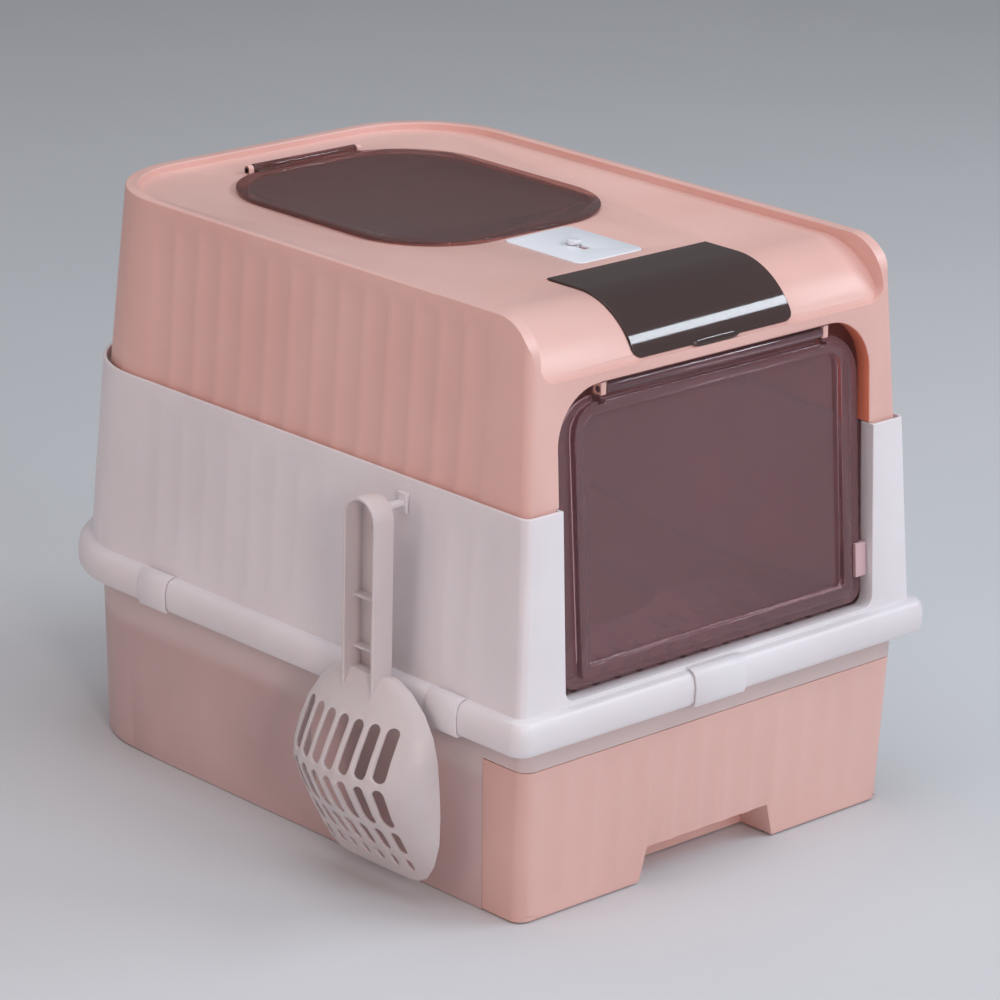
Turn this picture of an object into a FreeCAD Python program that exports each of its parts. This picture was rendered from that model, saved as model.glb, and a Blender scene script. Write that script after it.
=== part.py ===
import FreeCAD, Part
import math
import os
from FreeCAD import Vector

# Hooded cat litter box. Millimetres, +Z up, front faces -Y.
# Origin: centre of the footprint, on the floor.

os.makedirs("parts", exist_ok=True)

# ---------------------------------------------------------------- driving sizes
# Overall footprint of the base and the three stacked heights
base_half_width = 174.5
base_half_depth = 246.0
drawer_height = 109.0
band_height = 38.0
frame_height = 133.0
hood_height = 126.0

# Shell walls, corner radii and the play between parts
wall = 2.5
front_radius = 7.0
rear_radius = 80.0
clearance = 0.4
running_clearance = 0.08
seat_clearance = 0.03

# How far each shell leans or steps, at the sides, the front and the rear
base_flare_side = 3.0
base_flare_front = 6.5
base_flare_rear = 3.0
frame_step_side = 11.5
frame_step_front = 10.0
frame_step_rear = 4.0
frame_draft_side = 7.5
frame_draft_front = 7.0
frame_draft_rear = 5.5
hood_step = 4.1
hood_draft_side = 7.4
hood_draft_front = 7.6
hood_draft_rear = 8.0

# Rolled rim of the middle frame
rim_overhang = 10.0
rim_depth = 23.0
rim_corner = 6.0
rim_section = ((1.0, 0.35), (0.86, 0.07), (0.43, 0.0), (0.17, 0.25), (0.05, 0.62), (0.0, 1.1))
flange_gap = 0.5

# Hood: raised ridge round a sunken top, and the curve over the front
hood_skirt = 10.0
ledge_width = 6.0
ridge_width = 9.0
ridge_height = 5.5
brow_radius = 33.0
deck_radius = 58.5
deck_drop = 36.5
deck_corner = 14.0

# Door opening and flap
post_width = 28.4
sill_height = 2.5
sill_radius = 8.0
lintel_drop = 49.0
arch_radius = 38.0
jamb_depth = 12.0
jamb_wall = 2.2
door_gap = 4.5
door_thickness = 2.5
door_setback = 3.5
door_tilt = 4.6
bead_width = 8.0
bead_height = 5.0
bead_side_margin = 12.5
bead_top_margin = 3.5
bead_bottom_margin = 7.0
hinge_inset = 4.6
hinge_drop = 5.5
door_rod_radius = 2.0
door_tube_radius = 4.2
lug_width = 5.0
lug_inset = 44.5

# Top lid
lid_side_margin = 64.3
lid_rear_margin = 52.5
lid_radius = 68.0
lid_overlap = 8.5
lid_lift = 0.3
lid_thickness = 2.6
lid_border = 10.0
lid_panel_drop = 0.9
lid_barrel_radius = 3.2
lid_rod_radius = 1.6
lid_barrel_length = 96.0

# Lid latch plate and its slider
latch_half_width = 31.0
latch_length = 76.0
latch_radius = 6.0
latch_gap = 2.0
latch_plate_thickness = 1.9
latch_recess = 1.6
latch_travel = 10.0
bolt_half_width = 8.0
bolt_thickness = 3.0
stem_half_width = 2.6
stem_length = 7.0
knob_radius = 5.0
knob_height = 3.4
pad_thickness = 2.5

# Deodoriser compartment and its curved cover
cover_half_width = 74.0
cover_length = 86.0
cover_gap = 14.2
cover_thickness = 2.0
cover_recess = 1.0
cover_corner = 7.0
cover_pin_radius = 0.8
cover_knuckle_radius = 1.8
compartment_half_width = 64.0
compartment_length = 64.0
compartment_depth = 29.0
tray_wall = 1.6
pack_margin = 5.0
pack_height = 11.0

# Drawer
tray_side_play = 1.5
tray_height = 95.0
tray_wall_thickness = 2.2
wrap_length = 36.5
notch_half_width = 65.0
notch_taper = 7.0
notch_height = 25.0
notch_depth = 30.0

# Step grate inside the entrance
grate_thickness = 3.0
grate_length = 130.0
grate_ledge = 12.0
grate_setback = 8.6
grate_drop = 7.0
slot_width = 5.0
slot_length = 22.0
slot_rows = 4
slot_columns = 15

# Scoop and its hook
scoop_y = -132.0
scoop_tip_z = 14.0
scoop_length = 264.0
blade_half_width = 66.5
blade_bulge = 42.0
blade_wall = 2.2
blade_gap = 8.0
handle_width = 31.0
handle_depth = 17.0
handle_wall = 2.0
hook_drop = 17.0
hook_width = 6.0
hook_thickness = 3.0
hook_lip = 8.0

# Rim clips
clip_width = 30.0
front_clip_width = 48.0
front_clip_x = -13.0
clip_wall = 1.4
clip_gap = 0.3
clip_positions = (115.0, -190.0)

# ---------------------------------------------------------------- heights
housing_top = drawer_height + band_height
frame_low_z = housing_top + 4.0
seam_z = frame_low_z + frame_height
hood_top_z = seam_z + hood_height
deck_z = hood_top_z - ridge_height
crease_z = deck_z - deck_drop


def level(half_width, front, rear, z, radius_front, radius_rear):
    """One horizontal outline of a shell: a rectangle with rounded corners."""
    return {"w": half_width, "f": front, "r": rear, "z": z, "rf": radius_front, "rr": radius_rear}


def inset(outline, distance):
    """The same outline moved inwards on every side."""
    return level(
        outline["w"] - distance,
        outline["f"] - distance,
        outline["r"] - distance,
        outline["z"],
        max(outline["rf"] - distance, 1.0),
        max(outline["rr"] - distance, 1.0),
    )


def between(low, high, z):
    """The outline at height z on the straight run from low to high, or beyond it."""
    share = (z - low["z"]) / (high["z"] - low["z"])
    mixed = {}
    for key in low:
        mixed[key] = low[key] + share * (high[key] - low[key])
    return mixed


def arc(start, middle, end):
    return Part.Arc(start, middle, end).toShape()


def outline_wire(outline):
    """A closed wire of four lines and four quarter circles."""
    w, f, r, z = outline["w"], outline["f"], outline["r"], outline["z"]
    corners = (
        (w - outline["rr"], r - outline["rr"], outline["rr"], 0.0),
        (-w + outline["rr"], r - outline["rr"], outline["rr"], 90.0),
        (-w + outline["rf"], -f + outline["rf"], outline["rf"], 180.0),
        (w - outline["rf"], -f + outline["rf"], outline["rf"], 270.0),
    )
    edges = []
    last = None
    first = None
    for centre_x, centre_y, radius, start_angle in corners:
        points = []
        for turn in (0.0, 45.0, 90.0):
            angle = math.radians(start_angle + turn)
            x = centre_x + radius * math.cos(angle)
            y = centre_y + radius * math.sin(angle)
            points.append(Vector(x, y, z))
        if last is not None:
            edges.append(Part.makeLine(last, points[0]))
        else:
            first = points[0]
        edges.append(arc(*points))
        last = points[2]
    edges.append(Part.makeLine(last, first))
    return Part.Wire(edges)


def block(low, high):
    """Solid between two outlines."""
    return Part.makeLoft([outline_wire(low), outline_wire(high)], True, True)


def box(x0, x1, y0, y1, z0, z1):
    return Part.makeBox(x1 - x0, y1 - y0, z1 - z0, Vector(x0, y0, z0))


def rod_x(radius, x0, x1, y, z):
    return Part.makeCylinder(radius, x1 - x0, Vector(x0, y, z), Vector(1, 0, 0))


def rounded_plate(half_width, y0, y1, z0, z1, radius):
    """Flat plate with four equal rounded corners."""
    plate = box(-half_width, half_width, y0, y1, z0, z1)
    upright = [edge for edge in plate.Edges if abs(edge.tangentAt(edge.FirstParameter).z) > 0.9]
    return plate.makeFillet(radius, upright)


def mirror_x(shape):
    return shape.mirror(Vector(0, 0, 0), Vector(1, 0, 0))


def save(shape, name):
    solids = [solid for solid in shape.Solids if solid.Volume > 1.0]
    kept = solids[0] if len(solids) == 1 else Part.makeCompound(solids)
    print(name, "solids", len(solids), "valid", kept.isValid(), "volume", round(kept.Volume / 1000.0, 1))
    kept.exportStep("parts/" + name + ".step")


# ---------------------------------------------------------------- shell outlines
base_low = level(base_half_width, base_half_depth, base_half_depth, 0.0, 10.0, rear_radius)
base_high = level(
    base_half_width + base_flare_side,
    base_half_depth + base_flare_front,
    base_half_depth + base_flare_rear,
    housing_top,
    10.0,
    rear_radius,
)
frame_low = level(
    base_half_width + frame_step_side,
    base_half_depth + frame_step_front,
    base_half_depth + frame_step_rear,
    frame_low_z,
    front_radius,
    rear_radius,
)
frame_high = level(
    frame_low["w"] - frame_draft_side,
    frame_low["f"] - frame_draft_front,
    frame_low["r"] - frame_draft_rear,
    seam_z,
    front_radius,
    rear_radius,
)
hood_seam = level(
    frame_high["w"] - hood_step,
    frame_high["f"] - hood_step,
    frame_high["r"] - hood_step,
    seam_z,
    front_radius,
    rear_radius,
)
hood_high = level(
    hood_seam["w"] - hood_draft_side,
    hood_seam["f"] - hood_draft_front,
    hood_seam["r"] - hood_draft_rear,
    hood_top_z,
    front_radius,
    rear_radius,
)
hood_low = between(hood_seam, hood_high, seam_z - hood_skirt)
far = 2.0 * base_half_depth


def hood_front_y(z):
    return -between(hood_seam, hood_high, z)["f"]


# ---------------------------------------------------------------- base housing
def make_base_housing():
    """Open-fronted shell with a floor, side walls, a band across the front and an outward flange."""
    outer = block(base_low, base_high)
    floor = between(base_low, base_high, wall)
    top = between(base_low, base_high, housing_top + 1.0)
    inner = block(inset(floor, wall), inset(top, wall))
    shell = outer.cut(inner)
    flange_edge = inset(frame_low, rim_corner + wall + flange_gap - rim_overhang)
    flange_edge["z"] = housing_top
    flange_edge["rf"] = 12.0
    flange_low = dict(flange_edge)
    flange_low["z"] = housing_top - wall
    flange = block(flange_low, flange_edge)
    hollow_low = inset(between(base_low, base_high, housing_top - wall - 1.0), 1.0)
    hollow_high = inset(between(base_low, base_high, housing_top + 1.0), 1.0)
    shell = shell.fuse(flange.cut(block(hollow_low, hollow_high)))
    # ledge that carries the step grate
    ledge_z = housing_top - grate_drop - grate_thickness
    ledge_low = between(base_low, base_high, ledge_z - wall)
    ledge_high = between(base_low, base_high, ledge_z)
    ledge = block(inset(ledge_low, 1.0), inset(ledge_high, 1.0))
    ledge = ledge.cut(block(inset(ledge_low, wall + grate_ledge), inset(ledge_high, wall + grate_ledge)))
    grate_rear = -base_half_depth + grate_length + 12.0
    ledge = ledge.common(box(-far, far, -far, grate_rear, 0.0, housing_top))
    shell = shell.fuse(ledge)
    # opening for the drawer front, which wraps round both front corners
    wrap_y = -base_half_depth + wrap_length
    shell = shell.cut(box(-far, far, -far, wrap_y, -1.0, drawer_height))
    return shell.removeSplitter()


save(make_base_housing(), "base_housing")


# ---------------------------------------------------------------- drawer
def make_drawer():
    """Litter tray and the front that hides it, moulded in one piece."""
    wrap_y = -base_half_depth + wrap_length
    front_bottom = between(base_low, base_high, 0.8)
    front_top = between(base_low, base_high, drawer_height - clearance)
    front = block(front_bottom, front_top)
    front_inner_low = inset(between(base_low, base_high, wall + 0.8), wall)
    front_inner_high = inset(between(base_low, base_high, drawer_height + 1.0), wall)
    front = front.cut(block(front_inner_low, front_inner_high))
    front = front.common(box(-far, far, -far, wrap_y - clearance, 0.0, drawer_height))
    play = wall + tray_side_play
    tray_low = inset(between(base_low, base_high, wall + clearance), play)
    tray_high = inset(between(base_low, base_high, tray_height), play)
    tray_low["f"] = base_half_depth - wall * 0.5
    tray_high["f"] = between(base_low, base_high, tray_height)["f"] - wall * 0.5
    cavity_low = inset(between(base_low, base_high, wall * 2.0 + clearance), play + tray_wall_thickness)
    cavity_high = inset(between(base_low, base_high, tray_height + 1.0), play + tray_wall_thickness)
    cavity_low["f"] = cavity_low["f"] + play - wall
    cavity_high["f"] = cavity_high["f"] + play - wall
    tray = block(tray_low, tray_high)
    cavity = block(cavity_low, cavity_high)
    drawer = front.fuse(tray).cut(cavity)
    # finger pocket under the front edge, boxed off from the litter
    pocket_back = -base_half_depth + notch_depth
    top_half = notch_half_width - notch_taper
    skin = tray_wall_thickness
    pocket_box = box(
        -notch_half_width - skin,
        notch_half_width + skin,
        -base_half_depth + 1.0,
        pocket_back + skin,
        wall + clearance,
        notch_height + skin,
    )
    drawer = drawer.fuse(pocket_box)
    y_out = -base_half_depth - 20.0
    corners = (
        Vector(-notch_half_width, y_out, -1.0),
        Vector(-top_half, y_out, notch_height),
        Vector(top_half, y_out, notch_height),
        Vector(notch_half_width, y_out, -1.0),
        Vector(-notch_half_width, y_out, -1.0),
    )
    pocket = Part.Face(Part.makePolygon(corners)).extrude(Vector(0, pocket_back - y_out, 0))
    return drawer.cut(pocket).removeSplitter()


save(make_drawer(), "litter_drawer")


# ---------------------------------------------------------------- door opening outline
opening_half_width = hood_seam["w"] - post_width
opening_top_z = hood_top_z - lintel_drop
opening_sill_z = frame_low_z + sill_height


def opening_prism(grow, y0, y1):
    """Rounded door opening, pushed through from y0 to y1; grow widens it on every side."""
    half = opening_half_width + grow
    bottom = opening_sill_z - grow
    top = opening_top_z + grow
    prism = box(-half, half, y0, y1, bottom, top)
    upper = []
    lower = []
    for edge in prism.Edges:
        if abs(edge.tangentAt(edge.FirstParameter).y) > 0.9:
            if edge.CenterOfMass.z > (bottom + top) / 2.0:
                upper.append(edge)
            else:
                lower.append(edge)
    prism = prism.makeFillet(arch_radius + grow, upper)
    lower = []
    for edge in prism.Edges:
        if abs(edge.tangentAt(edge.FirstParameter).y) > 0.9 and edge.CenterOfMass.z < bottom + 1.0:
            lower.append(edge)
    return prism.makeFillet(sill_radius + grow, lower)


def jamb(thick_front):
    """Lining of the door opening: the part of a thick front that lies just outside the opening."""
    y0 = -far
    y1 = -base_half_depth * 0.5
    ring = opening_prism(jamb_wall, y0, y1).cut(opening_prism(0.0, y0, y1))
    return thick_front.common(ring)


# ---------------------------------------------------------------- middle frame
def make_mid_frame():
    """Sleeve between base and hood, with a rolled rim below and the lower half of the door opening."""
    outer = block(frame_low, frame_high)
    inner_low = inset(between(frame_low, frame_high, frame_low_z - 5.0), wall)
    inner_high = inset(between(frame_low, frame_high, seam_z + 5.0), wall)
    inner = block(inner_low, inner_high)
    rim_outer = inset(frame_low, -rim_overhang)
    rim_outer["rf"] = front_radius + rim_corner
    stages = []
    for drop, step_in in rim_section:
        stage = inset(rim_outer, step_in * rim_corner)
        stage["z"] = frame_low_z - drop * rim_depth
        stages.append(stage)
    rim = block(stages[0], stages[1])
    for below, above in zip(stages[1:], stages[2:]):
        rim = rim.fuse(block(below, above))
    rim_bottom = stages[0]
    rim_middle = dict(rim_outer)
    rim_middle["z"] = frame_low_z - rim_corner - 3.0
    rim_top = inset(rim_outer, rim_corner)
    rim_top["z"] = frame_low_z
    hollow_low = inset(rim_bottom, wall)
    hollow_low["z"] = rim_bottom["z"] - 1.0
    hollow_middle = inset(rim_middle, wall)
    hollow_top = inset(rim_top, wall)
    hollow_top["z"] = housing_top + 0.3
    rim = rim.cut(block(hollow_low, hollow_middle)).cut(block(hollow_middle, hollow_top))
    shell = outer.fuse(rim).cut(inner)
    # ledge inside, on which the hood's skirt stands
    ledge_z = seam_z - hood_skirt - 0.3
    ledge_low = between(frame_low, frame_high, ledge_z - wall)
    ledge_high = between(frame_low, frame_high, ledge_z)
    ledge = block(inset(ledge_low, 1.0), inset(ledge_high, 1.0))
    ledge = ledge.cut(block(inset(ledge_low, wall + ledge_width), inset(ledge_high, wall + ledge_width)))
    shell = shell.fuse(ledge)
    thick = outer.cut(block(inset(frame_low, jamb_depth), inset(frame_high, jamb_depth)))
    lining = jamb(thick.common(box(-far, far, -far, 0.0, 0.0, seam_z)))
    opening = opening_prism(0.0, -far, -base_half_depth * 0.5)
    return shell.fuse(lining).cut(opening).removeSplitter()


save(make_mid_frame(), "mid_frame")


# ---------------------------------------------------------------- hood
def deck_centre():
    """Centre of the curve that carries the sunken top over the front edge."""
    drop_to_crease = deck_radius - deck_drop
    crease_y = hood_front_y(crease_z) + 2.9
    y = crease_y + math.sqrt(deck_radius ** 2 - drop_to_crease ** 2)
    return y, deck_z - deck_radius


deck_y, deck_centre_z = deck_centre()


def deck_point(offset, angle):
    """Point on the curve over the front; angle counts from straight up towards the front."""
    radius = deck_radius + offset
    turn = math.radians(angle)
    return Vector(0, deck_y - radius * math.sin(turn), deck_centre_z + radius * math.cos(turn))


def crease_angle(offset, z):
    return math.degrees(math.acos((z - deck_centre_z) / (deck_radius + offset)))


def under_deck(offset, half_width):
    """Everything below the deck surface shifted by offset, as a solid of the given half width."""
    last_angle = 88.0
    start = deck_point(offset, 0.0)
    middle = deck_point(offset, last_angle / 2.0)
    end = deck_point(offset, last_angle)
    rear_top = Vector(0, far, start.z)
    rear_low = Vector(0, far, 0)
    front_low = Vector(0, -far, 0)
    front_high = Vector(0, -far, end.z)
    edges = [
        arc(start, middle, end),
        Part.makeLine(end, front_high),
        Part.makeLine(front_high, front_low),
        Part.makeLine(front_low, rear_low),
        Part.makeLine(rear_low, rear_top),
        Part.makeLine(rear_top, start),
    ]
    face = Part.Face(Part.Wire(edges))
    face.translate(Vector(-half_width, 0, 0))
    return face.extrude(Vector(2.0 * half_width, 0, 0))


def brow_prism():
    """Side outline of the hood: leaning front, rounded brow and flat top."""
    slope = (hood_seam["f"] - hood_high["f"]) / (hood_top_z - seam_z)
    lean = math.atan(slope)
    centre_z = hood_top_z - brow_radius
    centre_y = hood_front_y(centre_z) + brow_radius / math.cos(lean)
    tangent_y = centre_y - brow_radius * math.cos(lean)
    tangent_z = centre_z + brow_radius * math.sin(lean)
    half_turn = math.radians(45.0) + lean / 2.0
    middle = Vector(0, centre_y - brow_radius * math.cos(half_turn), centre_z + brow_radius * math.sin(half_turn))
    low_z = hood_low["z"]
    foot = Vector(0, hood_front_y(low_z), low_z)
    tangent = Vector(0, tangent_y, tangent_z)
    crown = Vector(0, centre_y, hood_top_z)
    rear_top = Vector(0, far, hood_top_z)
    rear_low = Vector(0, far, low_z)
    edges = [
        Part.makeLine(foot, tangent),
        arc(tangent, middle, crown),
        Part.makeLine(crown, rear_top),
        Part.makeLine(rear_top, rear_low),
        Part.makeLine(rear_low, foot),
    ]
    face = Part.Face(Part.Wire(edges))
    face.translate(Vector(-far, 0, 0))
    return face.extrude(Vector(2.0 * far, 0, 0))


def rounded_foot(half_width, bottom_z, radius):
    """Block along Y whose two lower edges are rounded, seen from the front."""
    foot = box(-half_width, half_width, -far, far, bottom_z, far)
    lower = []
    for edge in foot.Edges:
        if abs(edge.tangentAt(edge.FirstParameter).y) > 0.9 and edge.CenterOfMass.z < bottom_z + 1.0:
            lower.append(edge)
    return foot.makeFillet(radius, lower)


# Places along the top, from the front edge backwards
deck_level = between(hood_seam, hood_high, deck_z)
cover_rear_y = -deck_level["f"] + cover_length
latch_front_y = cover_rear_y + cover_gap
latch_rear_y = latch_front_y + latch_length
lid_front_y = latch_rear_y + latch_gap
lid_rear_y = deck_level["r"] - lid_rear_margin
lid_half_width = deck_level["w"] - lid_side_margin
compartment_rear_y = cover_rear_y - 9.0
compartment_front_y = compartment_rear_y - compartment_length
cover_axis_y = cover_rear_y - 1.0
cover_axis_z = deck_z - 1.1
lid_axis_y = lid_rear_y + 4.5
lid_axis_z = deck_z + lid_lift + lid_barrel_radius
door_axis_y = hood_front_y(opening_top_z - hinge_drop) + hinge_inset
door_axis_z = opening_top_z - hinge_drop
latch_stem_y = (latch_front_y + latch_rear_y) / 2.0
bolt_top_z = deck_z - wall - pad_thickness - 0.3
lug_x = opening_half_width - lug_inset
lid_lug_x = lid_barrel_length / 2.0 + clearance


def make_hood():
    """Top shell: rounded brow, sunken deck inside a ridge, and all the openings and hinge lugs."""
    outer = block(hood_low, hood_high).common(brow_prism())
    inner_low = inset(between(hood_seam, hood_high, hood_low["z"] - 1.0), wall)
    inner_high = inset(between(hood_seam, hood_high, hood_top_z), wall)
    inner = block(inner_low, inner_high).common(under_deck(-wall, far))
    shell = outer.cut(inner)
    deck_low = inset(between(hood_seam, hood_high, crease_z), ridge_width)
    deck_high = inset(between(hood_seam, hood_high, hood_top_z + 5.0), ridge_width)
    for outline in (deck_low, deck_high):
        outline["f"] = far / 2.0
    sink = block(deck_low, deck_high).cut(under_deck(0.0, far))
    sink = sink.common(rounded_foot(deck_low["w"], crease_z, deck_corner))
    shell = shell.cut(sink)
    # thicker patches under the latch and along the cover's hinge
    pad_z = deck_z - wall
    pad_half = latch_half_width + 3.0
    pad_front = latch_front_y - 3.0
    pad_rear = lid_front_y + lid_overlap - 0.4
    pads = box(-pad_half, pad_half, pad_front, pad_rear, pad_z - pad_thickness, pad_z + 0.5)
    pads = pads.fuse(
        box(-cover_half_width - 4.0, cover_half_width + 4.0, cover_rear_y - 7.0, cover_rear_y + 5.0, pad_z - 4.5, pad_z + 0.5)
    )
    guide_x = bolt_half_width + clearance
    guide_z = bolt_top_z - bolt_thickness - 0.3
    for side in (-1.0, 1.0):
        x0 = min(side * guide_x, side * (guide_x + 2.0))
        pads = pads.fuse(box(x0, x0 + 2.0, pad_front + 4.0, pad_rear, guide_z, pad_z))
    shell = shell.fuse(pads)
    # door opening and its lining
    rear_cut = block(inset(hood_low, jamb_depth), inset(hood_high, jamb_depth))
    thick = outer.cut(rear_cut).common(under_deck(0.0, far))
    lining = jamb(thick.common(box(-far, far, -far, 0.0, seam_z + 0.4, opening_top_z + jamb_wall)))
    reach = opening_half_width + jamb_wall + clearance
    shell = shell.cut(box(-reach, reach, -far, -base_half_depth * 0.5, 0.0, seam_z + 0.4)).fuse(lining)
    shell = shell.cut(opening_prism(0.0, -far, -base_half_depth * 0.5))
    shell = shell.cut(box(-opening_half_width, opening_half_width, -far, -base_half_depth * 0.5, 0.0, seam_z + 10.0))
    # lugs that carry the door rod
    for side in (-1.0, 1.0):
        x0 = min(side * lug_x, side * (lug_x + lug_width))
        lug = box(x0, x0 + lug_width, door_axis_y - 3.6, door_axis_y + 5.0, door_axis_z - 4.0, opening_top_z + 1.0)
        shell = shell.fuse(lug)
    reach = lug_x + lug_width + 1.0
    shell = shell.cut(rod_x(door_rod_radius + seat_clearance, -reach, reach, door_axis_y, door_axis_z))
    # opening under the lid, and the lid's hinge lugs
    way_rear = lid_rear_y - lid_overlap
    way_front = lid_front_y + lid_overlap
    way = rounded_plate(
        lid_half_width - lid_overlap, way_front, way_rear, deck_z - 20.0, deck_z + 20.0, lid_radius - lid_overlap
    )
    shell = shell.cut(way)
    for side in (-1.0, 1.0):
        x0 = min(side * lid_lug_x, side * (lid_lug_x + lug_width))
        foot = box(x0, x0 + lug_width, lid_axis_y - 3.0, lid_axis_y + 3.0, deck_z - 1.0, lid_axis_z)
        cap = rod_x(3.0, x0, x0 + lug_width, lid_axis_y, lid_axis_z)
        shell = shell.fuse(foot).fuse(cap)
    reach = lid_lug_x + lug_width + 1.0
    shell = shell.cut(rod_x(lid_rod_radius + seat_clearance, -reach, reach, lid_axis_y, lid_axis_z))
    # recess for the latch plate, slot for its slider
    plate_half = latch_half_width + 0.3
    recess = rounded_plate(
        plate_half, latch_front_y - 0.3, latch_rear_y + 0.3, deck_z - latch_recess, deck_z + 5.0, latch_radius + 0.3
    )
    shell = shell.cut(recess).cut(slider_slot(deck_z - 20.0, deck_z + 5.0))
    # recess for the curved cover, its hinge trough and pin holes, and the compartment hole
    cover_play = cover_half_width + clearance
    near_front = box(-cover_play, cover_play, -far, cover_rear_y + 0.3, crease_z + 0.2, deck_z + 5.0)
    near_front = near_front.common(rounded_foot(cover_play, crease_z + 1.2, cover_corner))
    shell = shell.cut(near_front.cut(under_deck(-cover_recess, far)))
    shell = shell.cut(
        box(-cover_play, cover_play, cover_rear_y - 4.0, cover_rear_y + 2.2, cover_axis_z - 3.0, deck_z + 5.0)
    )
    pin_reach = cover_play + 2.6
    shell = shell.cut(rod_x(cover_pin_radius + running_clearance, -pin_reach, pin_reach, cover_axis_y, cover_axis_z))
    hole = box(
        -compartment_half_width,
        compartment_half_width,
        compartment_front_y,
        compartment_rear_y,
        deck_z - compartment_depth,
        deck_z + 5.0,
    )
    return shell.cut(hole).removeSplitter()


def slider_slot(z0, z1):
    half = stem_half_width + clearance
    front = latch_stem_y - stem_length / 2.0 - latch_travel - clearance
    rear = latch_stem_y + stem_length / 2.0 + clearance
    return box(-half, half, front, rear, z0, z1)


save(make_hood(), "hood")
save(
    rod_x(door_rod_radius, -lug_x - lug_width, lug_x + lug_width, door_axis_y, door_axis_z),
    "door_hinge_rod",
)


# ---------------------------------------------------------------- swinging door
def make_door():
    """Flap with a raised bead, hung from a tube round the hinge rod. Built hanging, then tilted."""
    half = opening_half_width - door_gap
    top = -4.5
    bottom = opening_sill_z + door_gap - 1.0 - door_axis_z
    back = door_setback + door_thickness

    def panel(side, above, below, y0, y1):
        plate = box(-half + side, half - side, y0, y1, bottom + below, top - above)
        upper = []
        for edge in plate.Edges:
            if abs(edge.tangentAt(edge.FirstParameter).y) > 0.9 and edge.CenterOfMass.z > (bottom + top) / 2.0:
                upper.append(edge)
        plate = plate.makeFillet(max(arch_radius - door_gap - side, 4.0), upper)
        lower = []
        for edge in plate.Edges:
            if abs(edge.tangentAt(edge.FirstParameter).y) > 0.9 and edge.CenterOfMass.z < bottom + below + 1.0:
                lower.append(edge)
        return plate.makeFillet(max(sill_radius + 2.0 - side, 3.0), lower)

    door = panel(0.0, 0.0, 0.0, door_setback, back)
    outer = (bead_side_margin, bead_top_margin, bead_bottom_margin)
    inner = [margin + bead_width for margin in outer]
    bead = panel(*outer, door_setback - bead_height, door_setback + 0.5)
    door = door.fuse(bead.cut(panel(*inner, -far, far)))
    tube_end = lug_x - 0.5
    web = box(-tube_end, tube_end, door_setback, back, top - 3.0, 0.0)
    door = door.fuse(web)
    door = door.fuse(rod_x(door_tube_radius, -tube_end, tube_end, 0.0, 0.0))
    door = door.fuse(box(-tube_end, tube_end, 0.0, door_setback + 0.5, -3.0, 0.0))
    bore = rod_x(door_rod_radius + running_clearance, -tube_end - 1.0, tube_end + 1.0, 0.0, 0.0)
    door = door.cut(bore)
    for side in (-1.0, 1.0):
        x0 = min(side * (lug_x - 0.5), side * (lug_x + lug_width + 0.6))
        door = door.cut(box(x0, x0 + lug_width + 1.1, -far, far, -10.0, far))
    catch = box(half - 7.0, half + door_gap - 1.2, door_setback - 3.0, back, bottom + 18.0, bottom + 42.0)
    catch = catch.cut(box(-far, half, door_setback, back, -far, far))
    return door.removeSplitter(), catch


def hang(shape):
    """Tilts a hanging shape so that its foot leans out, and puts it on the door's axis."""
    shape.rotate(Vector(0, 0, 0), Vector(1, 0, 0), -door_tilt)
    shape.translate(Vector(0, door_axis_y, door_axis_z))
    return shape


door_panel, door_catch = make_door()
save(hang(door_panel), "front_door")
save(hang(door_catch), "door_catch")


# ---------------------------------------------------------------- top lid
def make_lid():
    """Smoked lid: plate with a raised border, a hinge barrel behind and a catch tab in front."""
    z0 = deck_z + lid_lift
    z1 = z0 + lid_thickness
    plate = rounded_plate(lid_half_width, lid_front_y, lid_rear_y, z0, z1, lid_radius)
    panel = rounded_plate(
        lid_half_width - lid_border,
        lid_front_y + lid_border,
        lid_rear_y - lid_border,
        z1 - lid_panel_drop,
        z1 + 5.0,
        lid_radius - lid_border,
    )
    lid = plate.cut(panel)
    half = lid_barrel_length / 2.0
    link = box(-half, half, lid_rear_y - 4.0, lid_axis_y, z0, lid_axis_z)
    barrel = rod_x(lid_barrel_radius, -half, half, lid_axis_y, lid_axis_z)
    lid = lid.fuse(link).fuse(barrel)
    lid = lid.cut(rod_x(lid_rod_radius + running_clearance, -half - 1.0, half + 1.0, lid_axis_y, lid_axis_z))
    tab_front = lid_front_y + lid_overlap + 0.9
    tab = box(-6.0, 6.0, tab_front, tab_front + 2.2, deck_z - 7.0, z0 + 0.5)
    return lid.fuse(tab).removeSplitter()


save(make_lid(), "top_lid")
lid_rod_end = lid_lug_x + lug_width
save(rod_x(lid_rod_radius, -lid_rod_end, lid_rod_end, lid_axis_y, lid_axis_z), "lid_hinge_rod")


# ---------------------------------------------------------------- lid latch
def make_latch_plate():
    base_z = deck_z - latch_recess
    plate = rounded_plate(
        latch_half_width, latch_front_y, latch_rear_y, base_z, base_z + latch_plate_thickness, latch_radius
    )
    return plate.cut(slider_slot(base_z - 1.0, base_z + 10.0))


def make_latch_slider():
    """Knob above, stem through the slot, bolt below the deck."""
    plate_top = deck_z - latch_recess + latch_plate_thickness
    knob_z = plate_top + 0.3
    knob = Part.makeCylinder(knob_radius, knob_height, Vector(0, latch_stem_y, knob_z), Vector(0, 0, 1))
    stem_y0 = latch_stem_y - stem_length / 2.0
    bolt_bottom = bolt_top_z - bolt_thickness
    stem = box(-stem_half_width, stem_half_width, stem_y0, stem_y0 + stem_length, bolt_bottom, knob_z + 0.5)
    nose_y = lid_front_y + lid_overlap - 0.4
    bolt = box(-bolt_half_width, bolt_half_width, stem_y0 - 6.0, nose_y, bolt_bottom, bolt_top_z)
    return knob.fuse(stem).fuse(bolt).removeSplitter()


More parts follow.
